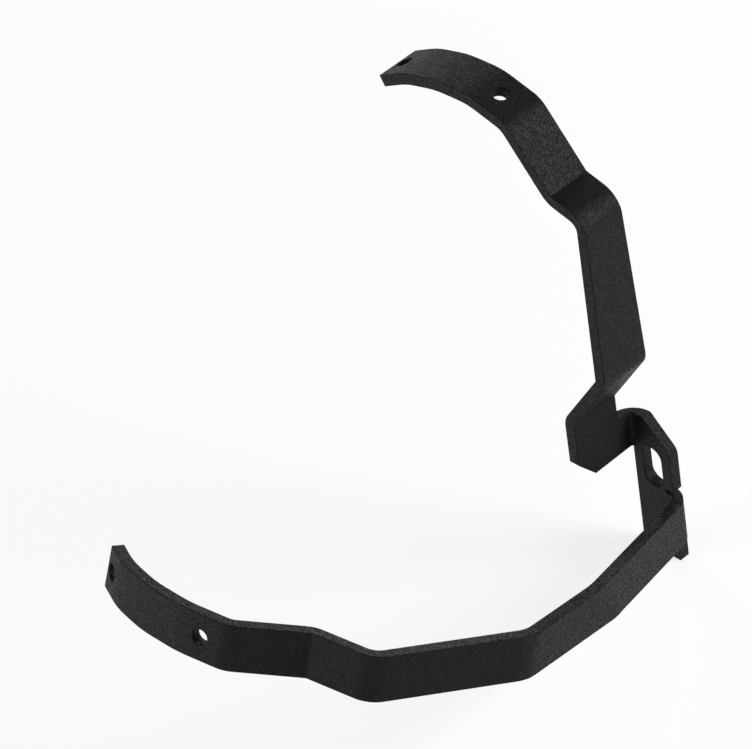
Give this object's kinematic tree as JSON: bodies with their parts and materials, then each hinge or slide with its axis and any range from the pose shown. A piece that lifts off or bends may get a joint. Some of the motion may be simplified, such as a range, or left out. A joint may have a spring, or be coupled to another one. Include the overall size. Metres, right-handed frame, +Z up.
{
  "type": "mudguard bracket",
  "caption": "Folded steel bracket: a slotted fixing plate carries stepped strip arms whose drilled, faceted ends follow the curve of a motorbike mudguard.",
  "frame": {"origin": "middle of the slot, on the plate's seen face", "axes": "+Z up along the slot, +X across the plate towards the lower arm's fold, +Y through the plate, away from the arms"},
  "size_m": [0.1487, 0.2279, 0.2328],
  "materials": {
    "powder_coat": "satin"
  },
  "bodies": {
    "root": {"mudguard_bracket": "powder_coat"}
  },
  "joints": []
}
